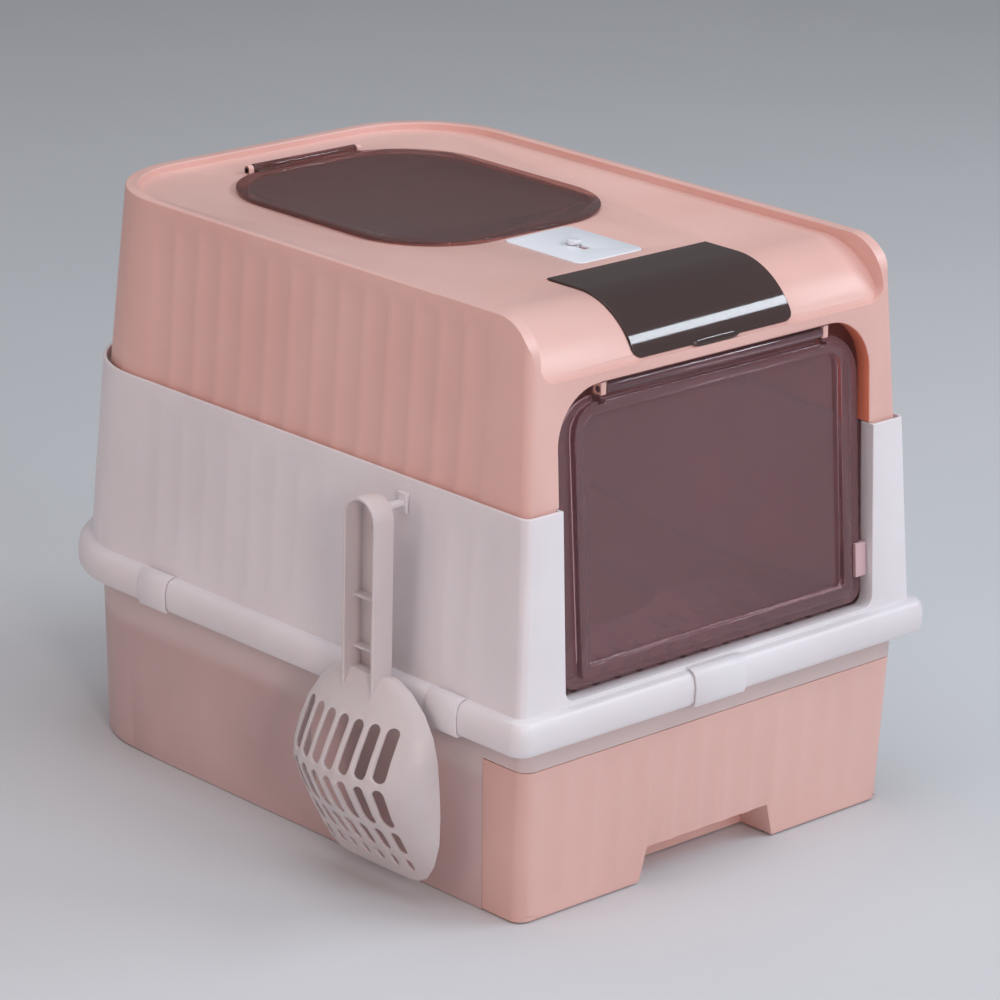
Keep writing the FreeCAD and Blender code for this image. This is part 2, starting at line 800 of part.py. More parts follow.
save(make_latch_plate(), "latch_plate")
save(make_latch_slider(), "latch_slider")


# ---------------------------------------------------------------- deodoriser compartment
def make_cover():
    """Curved sheet that follows the deck over the front, with a hinge knuckle at each rear corner."""
    low = clearance * 0.75 - cover_recess
    sheet = under_deck(low + cover_thickness, cover_half_width).cut(under_deck(low, far))
    band = box(-far, far, -far, cover_rear_y, crease_z + 1.6, far)
    cover = sheet.common(band).common(rounded_foot(cover_half_width, crease_z + 1.6, cover_corner))
    lip_angle = crease_angle(low + cover_thickness, crease_z + 3.2)
    lip = deck_point(low + cover_thickness, lip_angle)
    cover = cover.fuse(box(-21.0, 21.0, lip.y - 2.4, lip.y + 1.5, crease_z + 1.8, crease_z + 4.2))
    for side in (-1.0, 1.0):
        x0 = min(side * (cover_half_width - 10.0), side * cover_half_width)
        cover = cover.fuse(rod_x(cover_knuckle_radius, x0, x0 + 10.0, cover_axis_y, cover_axis_z))
    bore_end = cover_half_width + 1.0
    bore = rod_x(cover_pin_radius + seat_clearance, -bore_end, bore_end, cover_axis_y, cover_axis_z)
    inner_end = cover_half_width - 10.0
    bore = bore.cut(box(-inner_end, inner_end, -far, far, 0.0, far))
    return cover.cut(bore).removeSplitter()


def make_cover_pins():
    """Two short pins, one in each knuckle, that turn in the hood."""
    pin = rod_x(cover_pin_radius, cover_half_width - 9.8, cover_half_width + 2.6, cover_axis_y, cover_axis_z)
    return Part.makeCompound([pin, mirror_x(pin)])


def make_deodoriser_tray():
    bottom = deck_z - compartment_depth
    outer = box(
        -compartment_half_width,
        compartment_half_width,
        compartment_front_y,
        compartment_rear_y,
        bottom,
        deck_z,
    ).common(under_deck(-cover_recess - 0.1, far))
    inner = box(
        -compartment_half_width + tray_wall,
        compartment_half_width - tray_wall,
        compartment_front_y + tray_wall,
        compartment_rear_y - tray_wall,
        bottom + tray_wall,
        deck_z + 5.0,
    )
    return outer.cut(inner)


def make_charcoal_pack():
    half = compartment_half_width - tray_wall - pack_margin
    y0 = compartment_front_y + tray_wall + pack_margin
    y1 = compartment_rear_y - tray_wall - pack_margin
    z0 = deck_z - compartment_depth + tray_wall
    return rounded_plate(half, y0, y1, z0, z0 + pack_height, 4.0)


save(make_cover(), "deodoriser_cover")
save(make_cover_pins(), "cover_hinge_pins")
save(make_deodoriser_tray(), "deodoriser_tray")
save(make_charcoal_pack(), "charcoal_pack")


# ---------------------------------------------------------------- step grate
def make_step_grate():
    """Slotted plate the cat steps on, with a curved inner edge, lying on the housing's ledge."""
    z0 = housing_top - grate_drop - grate_thickness + 0.3
    z1 = z0 + grate_thickness
    low = inset(between(base_low, base_high, z0), wall + clearance * 2.0)
    high = inset(between(base_low, base_high, z1), wall + clearance * 2.0)
    plate = block(low, high)
    front_y = -low["f"] + grate_setback
    rear_y = front_y + grate_length
    plate = plate.common(box(-far, far, front_y, rear_y, z0, z1))
    scoop_out = Part.makeCylinder(150.0, 50.0, Vector(0, rear_y + 118.0, z0 - 20.0), Vector(0, 0, 1))
    plate = plate.cut(scoop_out)
    pitch_x = (2.0 * low["w"] - 40.0) / slot_columns
    pitch_y = slot_length + 6.0
    slots = []
    for row in range(slot_rows):
        for column in range(slot_columns):
            x = (column - (slot_columns - 1) / 2.0) * pitch_x
            y = front_y + 16.0 + row * pitch_y
            inner_limit = rear_y + 118.0 - math.sqrt(max(156.0 ** 2 - x ** 2, 0.0))
            if y + slot_length < min(inner_limit, rear_y - 6.0):
                x0 = x - slot_width / 2.0
                slots.append(box(x0, x0 + slot_width, y, y + slot_length, z0 - 1.0, z1 + 1.0))
    return plate.cut(Part.makeCompound(slots))


save(make_step_grate(), "step_grate")


# ---------------------------------------------------------------- scoop and hook
hook_z = seam_z - hook_drop
rim_face_x = frame_low["w"] + rim_overhang
mouth_x = -rim_face_x - blade_gap
handle_back_x = mouth_x + handle_wall

# Bowl profile from tip to shoulder: height above the tip, share of the half width, share of the bulge,
# and how far the mouth leans in towards the housing
bowl_sections = (
    (0.0, 0.60, 0.06, 6.5),
    (5.0, 0.74, 0.12, 6.0),
    (16.0, 0.86, 0.27, 5.0),
    (34.0, 0.955, 0.52, 3.5),
    (54.0, 0.99, 0.82, 2.0),
    (72.0, 1.0, 1.0, 0.5),
    (83.0, 0.99, 0.97, 0.0),
    (95.0, 0.97, 0.84, 0.0),
    (110.0, 0.90, 0.66, 0.0),
    (124.0, 0.77, 0.46, 0.0),
    (135.0, 0.58, 0.32, 0.0),
    (142.0, 0.36, 0.24, 0.0),
)
slot_rows_z = ((80.0, 115.5), (46.0, 75.5), (24.0, 41.5), (10.0, 19.0))
slot_pitch = 13.6
slot_widths = (9.6, 8.6, 7.4, 5.6)


def round_ended_slot(y, half_slot, z0, z1):
    """Cutter for one upright slot with rounded ends, running along X."""
    high = z1 - half_slot
    low = z0 + half_slot
    top = Part.Arc(Vector(0, y + half_slot, high), Vector(0, y, z1), Vector(0, y - half_slot, high))
    bottom = Part.Arc(Vector(0, y - half_slot, low), Vector(0, y, z0), Vector(0, y + half_slot, low))
    left = Part.makeLine(Vector(0, y - half_slot, high), Vector(0, y - half_slot, low))
    right = Part.makeLine(Vector(0, y + half_slot, low), Vector(0, y + half_slot, high))
    outline = Part.Wire([top.toShape(), left, bottom.toShape(), right])
    cutter = Part.Face(outline).extrude(Vector(-far, 0, 0))
    cutter.translate(Vector(mouth_x + 8.0, 0, 0))
    return cutter


def bowl_solid(grow):
    """The bowl's rounded wedge, as a solid; a negative grow gives the hollow."""
    wires = []
    for height, width_share, bulge_share, lean in bowl_sections:
        half = blade_half_width * width_share + grow
        bulge = max(blade_bulge * bulge_share + grow, 0.4)
        x = mouth_x + lean
        z = scoop_tip_z + min(max(height, -grow * 0.7), bowl_sections[-1][0] + grow)
        points = []
        for step in range(7):
            angle = math.radians(-90.0 + 30.0 * step)
            points.append(Vector(x - bulge * math.cos(angle), scoop_y + half * math.sin(angle), z))
        curve = Part.BSplineCurve()
        curve.interpolate(points)
        wires.append(Part.Wire([curve.toShape(), Part.makeLine(points[-1], points[0])]))
    return Part.makeLoft(wires, True, True)


def make_scoop():
    """Slotted bowl with its belly outwards and a channel handle that hangs on the hook."""
    bowl = bowl_solid(0.0)
    hollow = bowl_solid(-blade_wall)
    slots = []
    for row, (z_low, z_high) in enumerate(slot_rows_z):
        for column in range(-3, 4):
            half_slot = slot_widths[row] / 2.0
            y = scoop_y + column * slot_pitch
            z0 = scoop_tip_z + z_low
            z1 = scoop_tip_z + z_high
            slots.append(round_ended_slot(y, half_slot, z0, z1))
    # handle: a channel with its open side outwards and an arched end
    handle_low = scoop_tip_z + 118.0
    handle_top = scoop_tip_z + scoop_length
    handle_front_x = handle_back_x - handle_depth
    half = handle_width / 2.0
    handle = box(handle_front_x, handle_back_x, scoop_y - half, scoop_y + half, handle_low, handle_top - half)
    handle = handle.fuse(
        Part.makeCylinder(half, handle_depth, Vector(handle_front_x, scoop_y, handle_top - half), Vector(1, 0, 0))
    )
    channel = box(
        handle_front_x - 1.0,
        handle_back_x - handle_wall,
        scoop_y - half + handle_wall,
        scoop_y + half - handle_wall,
        handle_low - 1.0,
        handle_top - half,
    )
    channel = channel.fuse(
        Part.makeCylinder(
            half - handle_wall,
            handle_depth + 1.0 - handle_wall,
            Vector(handle_front_x - 1.0, scoop_y, handle_top - half),
            Vector(1, 0, 0),
        )
    )
    handle = handle.cut(channel)
    for rib_z in (hook_z - 62.0, hook_z - 98.0):
        rib = box(handle_back_x - 9.0, handle_back_x - 1.0, scoop_y - half + 1.0, scoop_y + half - 1.0, rib_z, rib_z + 2.0)
        handle = handle.fuse(rib)
    slot_half = hook_width / 2.0 + 1.5
    hook_top = hook_z + hook_thickness / 2.0 + 0.3
    hook_low = hook_top - hook_thickness - hook_lip - 6.0
    handle = handle.cut(
        box(handle_back_x - handle_wall - 1.0, 0.0, scoop_y - slot_half, scoop_y + slot_half, hook_low, hook_top)
    )
    return bowl.fuse(handle).cut(hollow).cut(Part.makeCompound(slots))


def make_scoop_hook():
    """Arm with an upturned lip, fixed to a backing plate on the frame's left side."""
    side_low = between(frame_low, frame_high, hook_z - 9.0)["w"]
    side_high = between(frame_low, frame_high, hook_z + 9.0)["w"]
    lip_x = handle_back_x - handle_wall - 1.0
    z0 = hook_z - hook_thickness / 2.0
    y0 = scoop_y - hook_width / 2.0
    arm = box(lip_x - hook_thickness, -side_high + 1.0, y0, y0 + hook_width, z0, z0 + hook_thickness)
    lip = box(lip_x - hook_thickness, lip_x, y0, y0 + hook_width, z0, z0 + hook_lip)
    plate = box(-side_low - 2.0, -side_high + 5.0, scoop_y - 4.5, scoop_y + 4.5, hook_z - 7.0, hook_z + 7.0)
    shape = arm.fuse(lip).fuse(plate)
    return shape.cut(block(frame_low, frame_high)).removeSplitter()


save(make_scoop(), "scoop")
save(make_scoop_hook(), "scoop_hook")


# ---------------------------------------------------------------- rim clips
def clip_outline(gap):
    """Rim section seen from its end, moved outwards by gap: points (x, z) at the -X side."""
    points = [(-frame_low["w"] - 2.0, frame_low_z + gap)]
    for drop, step_in in reversed(rim_section):
        x = -rim_face_x + step_in * rim_corner - gap
        z = frame_low_z - drop * rim_depth + gap * (0.5 - drop) * 2.0
        points.append((x, z))
    points.append((-rim_face_x + 9.0, frame_low_z - rim_depth - gap))
    return points


def rim_clip(length):
    """Spring clip that hugs the rolled rim, lying along Y at the -X side."""
    outer = clip_outline(clip_gap + clip_wall)
    inner = clip_outline(clip_gap)
    corners = [Vector(x, -length / 2.0, z) for x, z in outer + inner[::-1]]
    corners.append(corners[0])
    return Part.Face(Part.makePolygon(corners)).extrude(Vector(0, length, 0))


def make_side_clips():
    clips = []
    for y in clip_positions:
        clip = rim_clip(clip_width)
        clip.translate(Vector(0, y, 0))
        clips.append(clip)
        clips.append(mirror_x(clip))
    return Part.makeCompound(clips)


def make_end_clip(angle, edge, x):
    """The same clip at the front or rear: turned about Z and moved to that edge of the rim."""
    clip = rim_clip(front_clip_width)
    clip.translate(Vector(rim_face_x - edge, 0, 0))
    clip.rotate(Vector(0, 0, 0), Vector(0, 0, 1), angle)
    clip.translate(Vector(x, 0, 0))
    return clip


save(make_side_clips(), "side_clips")
save(make_end_clip(90.0, frame_low["f"] + rim_overhang, front_clip_x), "front_clip")
save(make_end_clip(-90.0, frame_low["r"] + rim_overhang, 0.0), "rear_clip")
print("lid axis", lid_axis_y, lid_axis_z, "cover axis", cover_axis_y, cover_axis_z, "door axis", door_axis_y, door_axis_z)
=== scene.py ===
import math

import bmesh
import bpy
from mathutils import Matrix, Vector


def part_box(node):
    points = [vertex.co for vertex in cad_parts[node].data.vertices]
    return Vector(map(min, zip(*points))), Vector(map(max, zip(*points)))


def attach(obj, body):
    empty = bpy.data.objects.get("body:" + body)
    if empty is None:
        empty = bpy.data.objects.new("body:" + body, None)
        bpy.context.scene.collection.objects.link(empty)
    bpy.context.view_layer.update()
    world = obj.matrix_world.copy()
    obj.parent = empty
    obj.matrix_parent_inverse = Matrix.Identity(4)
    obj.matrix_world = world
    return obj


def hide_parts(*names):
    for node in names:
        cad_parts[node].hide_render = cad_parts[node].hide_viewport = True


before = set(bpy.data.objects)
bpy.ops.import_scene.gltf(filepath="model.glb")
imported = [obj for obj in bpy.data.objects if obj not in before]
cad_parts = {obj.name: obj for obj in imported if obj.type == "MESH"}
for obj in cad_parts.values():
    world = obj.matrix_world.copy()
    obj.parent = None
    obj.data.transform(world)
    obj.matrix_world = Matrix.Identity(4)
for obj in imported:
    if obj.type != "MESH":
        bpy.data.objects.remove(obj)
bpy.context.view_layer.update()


# ---------------------------------------------------------------------------
# Camera: stands at the front left, a little above the hood, with a long lens.
# The camera is turned slightly about its own view line.
camera_place = Vector((-2.0092, -2.1925, 1.1972))
view_line = Vector((0.6453, 0.6941, -0.3191)).normalized()
camera_roll = math.radians(1.21)
level_right = view_line.cross(Vector((0, 0, 1))).normalized()
level_up = level_right.cross(view_line)
camera_right = level_right * math.cos(camera_roll) + level_up * math.sin(camera_roll)
camera_up = level_up * math.cos(camera_roll) - level_right * math.sin(camera_roll)
camera_data = bpy.data.cameras.new("camera")
camera_data.sensor_width = 36.0
camera_data.lens = 159.11
camera_data.clip_end = 30.0
camera = bpy.data.objects.new("camera", camera_data)
turn = Matrix((camera_right, camera_up, -view_line)).transposed()
camera.matrix_world = Matrix.Translation(camera_place) @ turn.to_4x4()
bpy.context.scene.collection.objects.link(camera)
bpy.context.scene.camera = camera


# ---------------------------------------------------------------------------
# Floor: a wide matt sheet of pale grey card.
floor_mesh = bpy.data.meshes.new("floor")
shape = bmesh.new()
bmesh.ops.create_grid(shape, x_segments=2, y_segments=2, size=6.0)
bmesh.ops.translate(shape, verts=shape.verts, vec=(0, 0, -0.0006))
shape.to_mesh(floor_mesh)
shape.free()
floor = bpy.data.objects.new("floor", floor_mesh)
bpy.context.scene.collection.objects.link(floor)
floor_paint = bpy.data.materials.new("floor_card")
floor_paint.use_nodes = True
floor_nodes = floor_paint.node_tree.nodes
floor_links = floor_paint.node_tree.links
floor_shader = floor_nodes["Principled BSDF"]
floor_place = floor_nodes.new("ShaderNodeTexCoord")
floor_noise = floor_nodes.new("ShaderNodeTexNoise")
floor_noise.inputs["Scale"].default_value = 3.0
floor_noise.inputs["Detail"].default_value = 4.0
floor_tones = floor_nodes.new("ShaderNodeValToRGB")
floor_tones.color_ramp.elements[0].color = (0.62, 0.625, 0.64, 1)
floor_tones.color_ramp.elements[1].color = (0.66, 0.665, 0.68, 1)
floor_links.new(floor_place.outputs["Object"], floor_noise.inputs["Vector"])
floor_links.new(floor_noise.outputs["Fac"], floor_tones.inputs["Fac"])
floor_links.new(floor_tones.outputs["Color"], floor_shader.inputs["Base Color"])
floor_shader.inputs["Roughness"].default_value = 0.85
floor_mesh.materials.append(floor_paint)

# Studio light: a narrow key lamp high at the front right, wide soft lamps in front, at the left and above,
# a raking lamp that brings out the flutes on the left side, and a dim pale room.
for lamp_name, lamp_place, lamp_wide, lamp_tall, lamp_power, lamp_tint in (
    ("key_lamp", (1.95, -1.80, 2.10), 1.6, 0.36, 36.0, (0.84, 0.92, 1.0)),
    ("front_lamp", (0.6, -4.2, 2.2), 2.0, 2.0, 40.0, (0.80, 0.89, 1.0)),
    ("raking_lamp", (-1.7, -3.3, 1.4), 0.6, 1.0, 31.0, (1.0, 0.80, 0.77)),
    ("left_lamp", (-3.5, 0.6, 1.6), 2.4, 2.4, 28.0, (1.0, 0.70, 0.63)),
    ("top_lamp", (-0.3, -0.2, 3.2), 3.0, 3.0, 50.0, (0.88, 0.94, 1.0)),
):
    lamp_data = bpy.data.lights.new(lamp_name, "AREA")
    lamp_data.shape = "RECTANGLE"
    lamp_data.size = lamp_wide
    lamp_data.size_y = lamp_tall
    lamp_data.energy = lamp_power
    lamp_data.color = lamp_tint
    lamp = bpy.data.objects.new(lamp_name, lamp_data)
    toward = Vector((0, 0, 0.2)) - Vector(lamp_place)
    lamp.matrix_world = Matrix.Translation(lamp_place) @ toward.to_track_quat("-Z", "Y").to_matrix().to_4x4()
    bpy.context.scene.collection.objects.link(lamp)
room = bpy.data.worlds.new("room")
room.use_nodes = True
room.node_tree.nodes["Background"].inputs["Color"].default_value = (0.80, 0.82, 0.86, 1)
room.node_tree.nodes["Background"].inputs["Strength"].default_value = 0.20
bpy.context.scene.world = room


# ---------------------------------------------------------------------------
# Base housing: a deep injection-moulded shell of frosted plastic, open in front for the drawer.
# The drawer's tray stands inside. The lower part of the walls is painted a deeper pink and the part above is
# painted paler, as painted light for the tray showing through the frosted walls.
def shared_grain():
    """Fine moulded grain and slow tone drift, used by every plastic here."""
    group = bpy.data.node_groups.new("moulded_grain", "ShaderNodeTree")
    for socket_name, value in (("Grain size", 900.0), ("Drift size", 9.0)):
        socket = group.interface.new_socket(socket_name, in_out="INPUT", socket_type="NodeSocketFloat")
        socket.default_value = value
    group.interface.new_socket("Grain", in_out="OUTPUT", socket_type="NodeSocketFloat")
    group.interface.new_socket("Drift", in_out="OUTPUT", socket_type="NodeSocketFloat")
    inside, outside = group.nodes.new("NodeGroupInput"), group.nodes.new("NodeGroupOutput")
    place = group.nodes.new("ShaderNodeTexCoord")
    for noise_name, detail in (("Grain", 2.0), ("Drift", 3.0)):
        noise = group.nodes.new("ShaderNodeTexNoise")
        noise.inputs["Detail"].default_value = detail
        group.links.new(place.outputs["Object"], noise.inputs["Vector"])
        group.links.new(inside.outputs[noise_name + " size"], noise.inputs["Scale"])
        group.links.new(noise.outputs["Fac"], outside.inputs[noise_name])
    return group


grain_group = shared_grain()


def moulded_plastic(name, dark, light, roughness, grain=0.02, coat=0.0, glow=0.0):
    """Opaque moulded plastic whose colour drifts slightly between two tones."""
    paint = bpy.data.materials.new(name)
    paint.use_nodes = True
    nodes, links = paint.node_tree.nodes, paint.node_tree.links
    shader = nodes["Principled BSDF"]
    texture = nodes.new("ShaderNodeGroup")
    texture.node_tree = grain_group
    texture.inputs["Grain size"].default_value = 900.0
    texture.inputs["Drift size"].default_value = 9.0
    tones = nodes.new("ShaderNodeValToRGB")
    tones.color_ramp.elements[0].position = 0.35
    tones.color_ramp.elements[0].color = (*dark, 1)
    tones.color_ramp.elements[1].position = 0.68
    tones.color_ramp.elements[1].color = (*light, 1)
    gloss = nodes.new("ShaderNodeMapRange")
    gloss.inputs["To Min"].default_value = roughness - 0.05
    gloss.inputs["To Max"].default_value = roughness + 0.06
    bump = nodes.new("ShaderNodeBump")
    bump.inputs["Strength"].default_value = grain
    bump.inputs["Distance"].default_value = 0.0006
    links.new(texture.outputs["Drift"], tones.inputs["Fac"])
    links.new(texture.outputs["Drift"], gloss.inputs["Value"])
    links.new(texture.outputs["Grain"], bump.inputs["Height"])
    links.new(tones.outputs["Color"], shader.inputs["Base Color"])
    links.new(gloss.outputs["Result"], shader.inputs["Roughness"])
    links.new(bump.outputs["Normal"], shader.inputs["Normal"])
    shader.inputs["Coat Weight"].default_value = coat
    shader.inputs["Coat Roughness"].default_value = 0.25
    shader.inputs["Subsurface Weight"].default_value = glow
    shader.inputs["Subsurface Radius"].default_value = (1.0, 0.5, 0.4)
    shader.inputs["Subsurface Scale"].default_value = 0.004
    return paint


def merged_copy(node_name):
    """The moulding's outline as one clean skin, ready for its surface detail."""
    skin = bmesh.new()
    skin.from_mesh(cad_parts[node_name].data)
    bmesh.ops.remove_doubles(skin, verts=skin.verts, dist=0.00001)
    bmesh.ops.dissolve_limit(
        skin, angle_limit=math.radians(0.6), verts=skin.verts, edges=skin.edges, delimit={"NORMAL"}
    )
    return skin


def fluted(skin, across, outward, half_way, first, last, low, high, pitch, depth):
    """Presses shallow upright flutes into the flat wall that faces outward along one axis."""
    side = 1 if half_way > 0 else -1

    def wall_parts():
        parts = set()
        for face in skin.faces:
            middle = face.calc_center_median()
            if face.normal[outward] * side > 0.97 and middle[outward] * side > abs(half_way):
                parts.add(face)
                parts.update(face.edges)
                parts.update(face.verts)
        return list(parts)

    steps = 8
    count = int(round((last - first) / pitch))
    pitch = (last - first) / count
    cut_normal = [0, 0, 0]
    cut_normal[across] = 1
    for step in range(count * steps + 1):
        where = [0, 0, 0]
        where[across] = first + step * pitch / steps
        bmesh.ops.bisect_plane(skin, geom=wall_parts(), dist=0.000005, plane_co=where, plane_no=cut_normal)
    fade = 0.012
    for height in (low, low + fade * 0.5, low + fade, high - fade, high - fade * 0.75, high - fade * 0.5,
                   high - fade * 0.25, high):
        bmesh.ops.bisect_plane(
            skin, geom=wall_parts(), dist=0.000005, plane_co=(0, 0, height), plane_no=(0, 0, 1)
        )
    geom = wall_parts()
    for vert in [part for part in geom if isinstance(part, bmesh.types.BMVert)]:
        run = vert.co[across]
        if not (first < run < last and low < vert.co.z < high):
            continue
        share = ((run - first) / pitch) % 1.0
        dish = 1.0 - (2.0 * share - 1.0) ** 2
        end = min((vert.co.z - low) / fade, (high - vert.co.z) / fade, 1.0)
        end = math.sin(end * math.pi / 2.0)
        vert.co[outward] -= side * depth * dish * end
    return skin


def finished(piece_name, skin, paint, node_names, body, soft_edge=0.0006, crisp=None, bend=35.0):
    """Makes the piece from its skin, rounds its sharp edges and hands it to the frame."""
    mesh = bpy.data.meshes.new(piece_name)
    rounded = skin.edges.layers.float.new("bevel_weight_edge")
    for face in skin.faces:
        face.smooth = True
    for edge in skin.edges:
        if len(edge.link_faces) != 2 or edge.calc_face_angle(0.0) < math.radians(bend):
            continue
        if crisp is not None and any(crisp(vert.co) for vert in edge.verts):
            edge.smooth = False
        else:
            edge[rounded] = 1.0
    skin.to_mesh(mesh)
    skin.free()
    mesh.materials.append(paint)
    piece = bpy.data.objects.new(piece_name, mesh)
    bpy.context.scene.collection.objects.link(piece)
    if soft_edge:
        rounding = piece.modifiers.new("soft_edges", "BEVEL")
        rounding.width = soft_edge
        rounding.segments = 3
        rounding.limit_method = "WEIGHT"
        rounding.use_clamp_overlap = False
        rounding.harden_normals = True
    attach(piece, body)
    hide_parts(*node_names)
    return piece


def round_edges(skin, choose, width, segments=4, sharper=30.0):
    """Rounds the chosen sharp edges with a wider radius."""
    edges = []
    for edge in skin.edges:
        if len(edge.link_faces) == 2 and edge.calc_face_angle(0.0) > math.radians(sharper):
            if all(choose(vert.co) for vert in edge.verts):
                edges.append(edge)
    if edges:
        bmesh.ops.bevel(
            skin,
            geom=edges,
            offset=width,
            segments=segments,
            profile=0.5,
            affect="EDGES",
            material=-1,
            clamp_overlap=True,
        )
    return skin


housing_paint = moulded_plastic("frosted_rose", (0.56, 0.40, 0.385), (0.62, 0.455, 0.44), 0.42, glow=0.15)
# Painted show-through: below the tray's top the wall keeps the deeper pink painted in for the tray seen
# through it, and above it the wall is painted paler.
housing_nodes, housing_links = housing_paint.node_tree.nodes, housing_paint.node_tree.links
housing_place = housing_nodes.new("ShaderNodeTexCoord")
housing_split = housing_nodes.new("ShaderNodeSeparateXYZ")
painted_showthrough_ramp = housing_nodes.new("ShaderNodeMapRange")
painted_showthrough_ramp.inputs["From Min"].default_value = 0.090
painted_showthrough_ramp.inputs["From Max"].default_value = 0.102
painted_showthrough_ramp.interpolation_type = "SMOOTHSTEP"
painted_showthrough_mix = housing_nodes.new("ShaderNodeMix")
painted_showthrough_mix.data_type = "RGBA"
painted_showthrough_mix.inputs["B"].default_value = (0.66, 0.53, 0.51, 1)
tone_link = [link for link in housing_links if link.to_socket.name == "Base Color"][0]
housing_links.new(tone_link.from_socket, painted_showthrough_mix.inputs["A"])
housing_links.new(housing_place.outputs["Object"], housing_split.inputs["Vector"])
housing_links.new(housing_split.outputs["Z"], painted_showthrough_ramp.inputs["Value"])
housing_links.new(painted_showthrough_ramp.outputs["Result"], painted_showthrough_mix.inputs["Factor"])
housing_links.new(painted_showthrough_mix.outputs["Result"], housing_nodes["Principled BSDF"].inputs["Base Color"])
housing_skin = merged_copy("base_housing")
round_edges(housing_skin, lambda co: co.z < 0.002 and co.y > -0.2, 0.0018)


def near_floor(co):
    """True on the foot's edge, which is already rounded."""
    return co.z < 0.0019


finished(


    "housing", housing_skin, housing_paint, ["base_housing"],


    "base", crisp=near_floor,


)


# ---------------------------------------------------------------------------
# Litter drawer: coral tray and the front that wraps round both corners, one moulding.
# Its front is pressed into upright flutes, with a finger pocket under the lower edge.
coral_dark, coral_light = (0.76, 0.455, 0.40), (0.80, 0.50, 0.445)
coral_paint = moulded_plastic("coral_plastic", coral_dark, coral_light, 0.40, glow=0.08)
drawer_paint = moulded_plastic("coral_drawer", (0.74, 0.455, 0.40), (0.79, 0.50, 0.445), 0.40, glow=0.08)
flute_spacing = 0.0249
drawer_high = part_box("litter_drawer")[1]
drawer_skin = merged_copy("litter_drawer")
fluted(drawer_skin, 0, 1, -0.240, -0.162, 0.162, 0.004, drawer_high.z - 0.001, flute_spacing, 0.0010)
round_edges(drawer_skin, lambda co: co.y < -0.208, 0.0012, 3)
finished("drawer", drawer_skin, drawer_paint, ["litter_drawer"], "drawer")


# ---------------------------------------------------------------------------
# Middle frame: pale moulded sleeve with a rolled rim round its foot.
# Its long sides carry the same flutes as the hood, but fainter.
pale_paint = moulded_plastic("pale_plastic", (0.74, 0.70, 0.72), (0.80, 0.765, 0.785), 0.42, glow=0.12)
sleeve_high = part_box("mid_frame")[1]
seam_height = sleeve_high.z
sleeve_skin = merged_copy("mid_frame")
for wall_x in (-0.177, 0.177):
    fluted(sleeve_skin, 1, 0, wall_x, -0.226, 0.150, 0.158, seam_height - 0.012, flute_spacing, 0.0006)


def on_rolled_rim(co):
    """True on the lower edges of the rolled rim, outside the housing's top."""
    return co.z < 0.152 and (abs(co.x) > 0.187 or co.y < -0.257 or co.y > 0.251)


round_edges(sleeve_skin, on_rolled_rim, 0.0022)
finished("middle_sleeve", sleeve_skin, pale_paint, ["mid_frame"], "base")


# ---------------------------------------------------------------------------
# Hood: coral moulding with fluted sides, a rounded brow and a top sunk inside a raised ridge.
# The two-way edge of the ridge is generously rounded so that it can be gripped.
hood_low, hood_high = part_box("hood")
hood_skin = merged_copy("hood")
for wall_x in (-0.165, 0.165):
    fluted(hood_skin, 1, 0, wall_x, -0.202, 0.147, hood_low.z, hood_high.z - 0.010, flute_spacing, 0.0013)


def near_crease(co):
    """True on the thin step across the front, which stays crisp."""
    return co.y < -0.15 and (abs(co.z - 0.368) < 0.004 or (abs(co.x) > 0.14 and co.z > 0.364))


hood_paint = coral_paint.copy()
hood_paint.name = "coral_hood"
hood_nodes, hood_links = hood_paint.node_tree.nodes, hood_paint.node_tree.links
hood_place = hood_nodes.new("ShaderNodeTexCoord")
hood_spot = hood_nodes.new("ShaderNodeSeparateXYZ")
hood_facing = hood_nodes.new("ShaderNodeSeparateXYZ")
hood_links.new(hood_place.outputs["Object"], hood_spot.inputs["Vector"])
hood_links.new(hood_place.outputs["Normal"], hood_facing.inputs["Vector"])
# Painted glow: a mask for the inner jamb of the front opening, which is painted deep orange-red to stand in
# for light passing through the pink plastic.
jamb_glow_mask = None
for reading, compare, limit in (
    (hood_spot.outputs["X"], "width", 0.1465),
    (hood_spot.outputs["X"], "beyond", 0.1095),
    (hood_spot.outputs["Y"], "less", -0.215),
    (hood_spot.outputs["Z"], "less", 0.3606),
    (hood_facing.outputs["Y"], "width", 0.6),
):
    value = reading
    if compare in ("width", "beyond"):
        size = hood_nodes.new("ShaderNodeMath")
        size.operation = "ABSOLUTE"
        hood_links.new(reading, size.inputs[0])
        value = size.outputs["Value"]
    below = hood_nodes.new("ShaderNodeMath")
    below.operation = "GREATER_THAN" if compare == "beyond" else "LESS_THAN"
    below.inputs[1].default_value = limit
    hood_links.new(value, below.inputs[0])
    if jamb_glow_mask is None:
        jamb_glow_mask = below.outputs["Value"]
        continue
    both = hood_nodes.new("ShaderNodeMath")
    both.operation = "MULTIPLY"
    hood_links.new(jamb_glow_mask, both.inputs[0])
    hood_links.new(below.outputs["Value"], both.inputs[1])
    jamb_glow_mask = both.outputs["Value"]
# Painted glow colour on the jamb, in place of light shining through the thin plastic.
painted_jamb_glow = hood_nodes.new("ShaderNodeMix")
painted_jamb_glow.data_type = "RGBA"
painted_jamb_glow.inputs["B"].default_value = (0.86, 0.25, 0.15, 1)
hood_tone = [link for link in hood_links if link.to_socket.name == "Base Color"][0]
hood_links.new(hood_tone.from_socket, painted_jamb_glow.inputs["A"])
hood_links.new(jamb_glow_mask, painted_jamb_glow.inputs["Factor"])
hood_links.new(painted_jamb_glow.outputs["Result"], hood_nodes["Principled BSDF"].inputs["Base Color"])
finished(
    "hood_shell", hood_skin, hood_paint, ["hood"],
    "hood", soft_edge=0.0009, crisp=near_crease,
)


